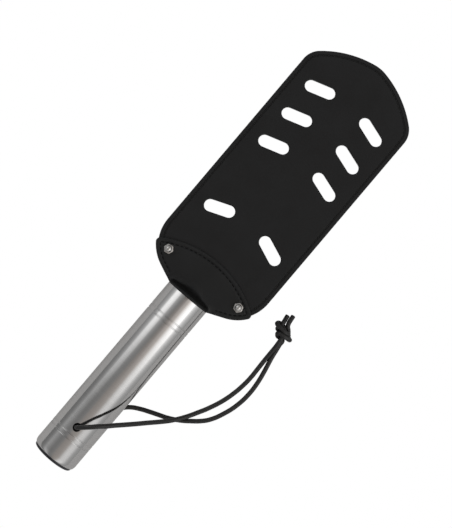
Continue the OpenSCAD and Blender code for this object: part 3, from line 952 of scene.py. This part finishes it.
def tube_profile():
    """The tube's closed profile, as heights from its butt end and radii, in millimetres."""
    handle = settings("handle")
    radius = TUBE_RADIUS / MM
    bore = radius - handle.wall / MM
    size = (TUBE_HIGH.y - TUBE_LOW.y) / MM
    mouth = (MOUTH_Y - TUBE_LOW.y) / MM
    hole = (HOLE.y - TUBE_LOW.y) / MM
    width = handle.ring_width / MM
    depth = handle.ring_depth / MM
    butt = rounded_end(*BUTT_ROUND, radius, 10)
    rings = [mouth - pair + side * RING_PITCH / 2 for pair in RING_PAIRS for side in (-1, 1)]
    plain = [hole - HOLE_ROOM, hole + HOLE_ROOM, *(mouth - gap for gap in PLAIN_RINGS)]
    profile = list(butt)
    for y in sorted(rings + plain):
        if y in rings:
            profile += [(y + x * width, radius - k * depth) for x, k in GROOVE]
            profile += [(y - x * width, radius - k * depth) for x, k in reversed(GROOVE)]
        else:
            profile.append((y, radius))
    inside = size - MOUTH_BREAK
    return profile + [
        (inside, radius), (size, radius - MOUTH_BREAK), (size, bore + MOUTH_BREAK), (inside, bore),
        (hole + HOLE_ROOM, bore), (hole - HOLE_ROOM, bore), (BUTT_BREAK, bore),
        (0, bore + BUTT_BREAK), butt[0],
    ]


def bore_across(tube, y, half, sides):
    """Cuts a hole straight through the tube at y. Its half profile runs outwards from the axis."""
    half = [*half, (half[-1][0], 0)]
    tool = turned("tool", [(-height, radius) for height, radius in reversed(half)] + half, sides)
    tool.location = (0, y, AXIS_Z)
    apply_place(tool)
    carve(tube, tool)


class PADDLE_OT_handle(bpy.types.Operator):
    """Turn the handle tube, with its grooves and holes"""

    bl_idname = "paddle.handle"
    bl_label = "Handle tube"

    def execute(self, context):
        handle = settings("handle")
        tube = turned("tube", tube_profile(), handle.sides)
        lay_along_handle(tube, TUBE_LOW.y)
        radius = TUBE_RADIUS / MM
        hole = handle.hole / 2 / MM
        pin = (PINS_HIGH.x - PINS_LOW.x) / 2 / MM
        bore_across(tube, HOLE.y, [
            (radius - 0.85, hole), (radius - 0.5, hole + 0.15), (radius - 0.15, hole + 0.5),
            (radius + 0.4, hole + 1.2),
        ], 64)
        bore_across(tube, (PINS_HIGH.y + PINS_LOW.y) / 2, [
            (radius - 0.15, pin), (radius, pin + 0.12), (radius + 1, pin + 0.25)
        ], 48)
        even_shading(tube, 28)
        steel = metal("Polished steel", handle.tint, handle.roughness, (40, 1800, 40), 0.02)
        finish_piece(tube, "tube", steel, "handle_tube")
        return {"FINISHED"}


class PADDLE_OT_butt_plug(bpy.types.Operator):
    """Turn the plug in the handle's butt end"""

    bl_idname = "paddle.butt_plug"
    bl_label = "Butt plug"

    def execute(self, context):
        handle = settings("handle")
        head = (PLUG_HIGH.x - PLUG_LOW.x) / 2 / MM
        size = (PLUG_HIGH.y - PLUG_LOW.y) / MM
        body = TUBE_RADIUS / MM - handle.wall / MM - CLEARANCE
        dish = [(0.5, 0), (0.5, 9.6), (0.42, 10), (0.08, 10.5), (0, 10.9)]
        cup = [
            (size - 0.6, body), (size, body - 0.6), (size, body - 1.8), (5, body - 2.2),
            (4.4, body - 2.8), (4.4, 0),
        ]
        edge = rounded_end(*PLUG_ROUND, head, 9)
        plug = turned("plug", [*dish, *edge, (PLUG_HEAD, head), (PLUG_HEAD, body), *cup], 144)
        lay_along_handle(plug, PLUG_LOW.y)
        even_shading(plug, 30)
        material = plastic("Plug plastic", handle.plug_tint)
        finish_piece(plug, "plug", material, "butt_plug")
        return {"FINISHED"}


# ------------------------ bolts and nuts

# The radii of the bolts' shanks and of the holes around them, in millimetres
SHANK = (BOLTS_HIGH.x - BOLT.x) / 2 / MM
SHANK_HOLE = SHANK + CLEARANCE
MARKS = 0.01 * MM  # the depth of the tool lines on the inner metal pieces


def round_edges(obj, size):
    modify(
        obj, "BEVEL", width=size * MM, segments=2, limit_method="ANGLE",
        angle_limit=math.radians(32),
    )
    even_shading(obj, 40)


def cap_nut():
    """A cap nut on z = 0: a chamfered hexagon, a dome on a short neck, and a blind bore."""
    bolt = settings("bolt")
    tall = bolt.nut_hex_height / MM
    flat = bolt.nut_flats / 2 / MM
    corner = flat / math.cos(math.pi / 6)
    dome = bolt.dome / 2 / MM
    height = (NUTS_HIGH.z - NUTS_LOW.z) / MM
    nut = prism("cap_nut", 6, corner * MM, 0, tall * MM)
    carve(nut, turned("chamfer", [
        (0, 0), (0, flat - 0.1), (0.42, corner + 0.05), (tall - 0.35, corner + 0.05),
        (tall, flat + 0.2), (tall, 0),
    ], 96), "INTERSECT")
    cap = [
        (height - dome + dome * math.sin(a), dome * math.cos(a))
        for a in (math.radians(8 + 9 * i) for i in range(9))
    ]
    neck = [(tall - 0.3, dome - 0.3), (tall + 0.08, dome - 0.3), (tall + 0.16, dome - 0.2)]
    carve(nut, turned("dome", [(tall - 0.3, 0), *neck, *cap, (height, 0)], 48), "UNION")
    end = tall + 1.6
    carve(nut, turned("bore", [
        (-1, 0), (-1, SHANK_HOLE), (tall + 1, SHANK_HOLE), (end, SHANK_HOLE - 0.6), (end, 0)
    ], 48))
    round_edges(nut, 0.1)
    return nut


def clamp_bolt():
    """A clamp bolt in its height, with a rounded head and a hexagon socket."""
    head = 2 * SHANK
    low = BOLTS_LOW.z / MM
    high = BOLTS_HIGH.z / MM
    top = WASHERS_LOW.z / MM
    bolt = turned("bolt", [
        (low, 0), (low, head - 0.7), (low + 0.12, head - 0.35), (low + 0.4, head - 0.08),
        (low + 0.8, head), (top - 0.15, head), (top, head - 0.15), (top, SHANK + 0.15),
        (top + 0.15, SHANK), (high - 0.5, SHANK), (high, SHANK - 0.5), (high, 0),
    ], 64)
    carve(bolt, prism("key", 6, 1.5 * MM, (low - 1) * MM, (low + 1.3) * MM))
    round_edges(bolt, 0.08)
    return bolt


def washer():
    """A flat washer in its height, with one edge rounded by the punch."""
    low = WASHERS_LOW.z / MM
    high = WASHERS_HIGH.z / MM
    rim = (WASHERS_HIGH.x - BOLT.x) / MM
    ring = turned("washer", [
        (low, SHANK_HOLE + 0.1), (low, rim - 0.3), (low + 0.1, rim - 0.1), (low + 0.3, rim),
        (high - 0.05, rim), (high, rim - 0.05), (high, SHANK_HOLE), (low + 0.1, SHANK_HOLE),
        (low, SHANK_HOLE + 0.1),
    ], 64)
    smooth(ring, 40)
    return ring


class PADDLE_OT_clamp(bpy.types.Operator):
    """Make the cap nuts, the clamp bolts and their washers"""

    bl_idname = "paddle.clamp"
    bl_label = "Clamp bolts"

    def execute(self, context):
        bolt = settings("bolt")
        steel = metal("Bolt steel", bolt.tint, bolt.roughness, (500, 500, 60), 0.05)
        for model, name, node, z, turns in (
            (cap_nut(), "nuts", "cap_nuts", NUTS_LOW.z, (bolt.left_turn, bolt.right_turn)),
            (clamp_bolt(), "bolts", "clamp_bolts", 0, (0, 0)),
            (washer(), "washers", "bolt_washers", 0, (0, 0)),
        ):
            pair = []
            for side, turn in zip((-1, 1), turns):
                place = Matrix.Translation((side * BOLT.x, BOLT.y, z))
                pair.append(copy_of(model, place @ Matrix.Rotation(turn, 4, "Z")))
            bpy.data.objects.remove(model)
            finish_piece(join(pair), name, steel, node)
        return {"FINISHED"}


class PADDLE_OT_inner_pieces(bpy.types.Operator):
    """Give the pieces inside the paddle their finishes"""

    bl_idname = "paddle.inner_pieces"
    bl_label = "Inner pieces"

    def execute(self, context):
        pins = metal("Ground pin steel", (0.45, 0.44, 0.43), 0.3, (900, 900, 40), 0.08)
        alloy = metal("Machined alloy", (0.55, 0.56, 0.58), 0.32, (60, 2200, 60), 0.1, MARKS)
        plate = metal("Rolled plate", (0.5, 0.51, 0.53), 0.38, (700, 30, 700), 0.1, MARKS)
        for node, material in (
            ("head_plug", alloy), ("lock_pins", pins), ("cross_pins", pins),
            ("tongue_plate", plate), ("blade_core", fibre_board("Fibre board")),
        ):
            dress(NODES[node], material)
        return {"FINISHED"}


# ------------------------ stage

# The room's light by its lean from upright towards +X, in degrees, beside the blade and the butt
BLADE_LIGHT = (
    (-180, 0.3), (-95, 0.3), (-87, 0.34), (-78, 0.42), (-70, 0.56), (-63, 0.8), (-57, 1.3),
    (-50, 1.34), (-43, 1.22), (-36, 1.02), (-30, 0.56), (-24, 0.42), (-18, 0.34), (-10, 0.27),
    (0, 0.31), (6, 0.4), (12, 0.56), (18, 0.64), (24, 0.88), (30, 1.2), (37, 1.5), (44, 1.66),
    (51, 1.74), (57, 1.26), (64, 0.86), (71, 0.67), (78, 0.54), (87, 0.4), (95, 0.3), (180, 0.3),
)
BUTT_LIGHT = (
    (-180, 0.24), (-95, 0.2), (-78, 0.21), (-70, 0.25), (-63, 0.31), (-57, 0.36), (-50, 0.33),
    (-43, 0.28), (-36, 0.24), (-24, 0.22), (-12, 0.26), (0, 0.34), (12, 0.37), (24, 0.44),
    (30, 0.56), (37, 0.7), (44, 0.77), (51, 0.76), (57, 0.74), (64, 0.63), (71, 0.48), (78, 0.41),
    (87, 0.37), (95, 0.3), (180, 0.24),
)
# How much of the light is warm, by the same lean
WARM_SHARE = (
    (-180, 0.1), (-30, 0.1), (-8, 0.4), (2, 1), (16, 1), (30, 0.4), (50, 0.15), (180, 0.1),
)
# The share of the blade's light, by the light's lean towards +Y as a sine
BLADE_SHARE = (
    (-1, 0.25), (-0.4, 0.15), (-0.24, 0.05), (-0.15, 0.04), (-0.115, 0.32), (-0.085, 0.56),
    (-0.05, 1), (0.3, 1), (1, 0.9),
)
# How bright the room is, by the light's lean towards +Y as a sine
FAR_SHADE = ((-1, 0.7), (-0.6, 1), (0.25, 1), (0.45, 0.85), (0.65, 0.6), (0.85, 0.5), (1, 0.5))
WARM_TINT = (1, 0.918, 0.862)
WHITE = (1, 1, 1)
FLOOR_SIZE = 8


def ramp(value, stops, top=1):
    """A curve through the stops, for a value between the first and the last. None is above top."""
    low, high = stops[0][0], stops[-1][0]
    node = add(value.id_data, "FloatCurve")
    points = node.mapping.curves[0].points
    for i, (x, y) in enumerate(stops):
        place = ((x - low) / (high - low), y / top)
        if i < 2:
            points[i].location = place
        else:
            points.new(*place)
    node.mapping.update()
    fill(node, Value=spread(value, 0, 1, low, high))
    return times(node.outputs["Value"], top)


class PADDLE_OT_stage(bpy.types.Operator):
    """Make the pale floor and the room's soft light"""

    bl_idname = "paddle.stage"
    bl_label = "Stage"

    def execute(self, context):
        stage = settings("stage")
        deselect_all()
        bpy.ops.mesh.primitive_plane_add(size=FLOOR_SIZE, location=(0, 0, 0))
        floor = context.active_object
        floor.name = "floor"
        floor.data.materials.append(floor_material(stage))
        context.scene.world = room_light(stage)
        context.scene.view_settings.view_transform = "Standard"
        return {"FINISHED"}


def mixed(factor, first, second):
    """A mix of two shaders, given as their outputs, by a factor socket."""
    mix = add(factor.id_data, "MixShader", Fac=factor)
    for socket, shader in zip(mix.inputs[1:3], (first, second)):
        feed(socket, shader)
    return mix.outputs["Shader"]


def floor_material(stage):
    """A pale floor that is plain white to look at, and can't be seen from below."""
    material, tree, shader = new_material("Floor")
    fill(
        shader, Base_Color=(*stage.floor_tint, 1), Roughness=0.9, Specular_IOR_Level=0.0,
        Emission_Color=(*WHITE, 1), Emission_Strength=stage.floor_glow,
    )
    looked_at = add(tree, "LightPath").outputs["Is Camera Ray"]
    white = add(tree, "Emission")
    lit = mixed(looked_at, shader.outputs["BSDF"], white.outputs["Emission"])
    under = add(tree, "NewGeometry").outputs["Backfacing"]
    clear = add(tree, "BsdfTransparent")
    output = next(node for node in tree.nodes if node.type == "OUTPUT_MATERIAL")
    fill(output, Surface=mixed(under, lit, clear.outputs["BSDF"]))
    return material


def room_light(stage):
    """The room's light, which is plain white to look at."""
    world = bpy.data.worlds.new("Room")
    world.use_nodes = True
    tree = world.node_tree
    way = add(tree, "SeparateXYZ", Vector=place_on(tree, "Generated")).outputs
    lean = math_node("ARCTAN2", way["X"], way["Z"])
    degrees = times(lean, 180 / math.pi)
    blade = ramp(degrees, BLADE_LIGHT, 2)
    butt = ramp(degrees, BUTT_LIGHT, 2)
    more = math_node("SUBTRACT", blade, butt)
    light = math_node("ADD", butt, times(more, ramp(way["Y"], BLADE_SHARE)))
    light = times(times(light, stage.room), ramp(way["Y"], FAR_SHADE))
    looked_at = add(tree, "LightPath").outputs["Is Camera Ray"]
    unseen = math_node("SUBTRACT", 1, looked_at)
    warmth = times(ramp(degrees, WARM_SHARE), unseen)
    fill(
        tree.nodes["Background"], Strength=math_node("MAXIMUM", light, looked_at),
        Color=blend(warmth, WHITE, WARM_TINT),
    )
    return world


class PADDLE_PT_panel(bpy.types.Panel):
    bl_label = "Hand Paddle"
    bl_space_type = "VIEW_3D"
    bl_region_type = "UI"
    bl_category = "Paddle"

    def draw(self, context):
        for operator in OPERATORS:
            self.layout.operator(operator.bl_idname)
        for name in GROUPS:
            group = settings(name)
            box = self.layout.box()
            for field in group.__annotations__:
                box.prop(group, field)


GROUPS = {
    "cord": CordSettings,
    "leather": LeatherSettings,
    "stitch": StitchSettings,
    "handle": HandleSettings,
    "bolt": BoltSettings,
    "stage": StageSettings,
}
OPERATORS = (
    PADDLE_OT_camera,
    PADDLE_OT_wrist_cord,
    PADDLE_OT_stage,
    PADDLE_OT_blade,
    PADDLE_OT_cuff,
    PADDLE_OT_stitching,
    PADDLE_OT_handle,
    PADDLE_OT_butt_plug,
    PADDLE_OT_clamp,
    PADDLE_OT_inner_pieces,
)


def register():
    for cls in (*GROUPS.values(), *OPERATORS, PADDLE_PT_panel):
        bpy.utils.register_class(cls)
    for name, cls in GROUPS.items():
        setattr(bpy.types.Scene, "paddle_" + name, PointerProperty(type=cls))


def unregister():
    for name in GROUPS:
        delattr(bpy.types.Scene, "paddle_" + name)
    for cls in (PADDLE_PT_panel, *reversed(OPERATORS), *reversed(GROUPS.values())):
        bpy.utils.unregister_class(cls)


def main():
    register()
    for operator in OPERATORS:
        getattr(bpy.ops.paddle, operator.bl_idname.split(".")[1])()


if __name__ == "__main__":
    main()
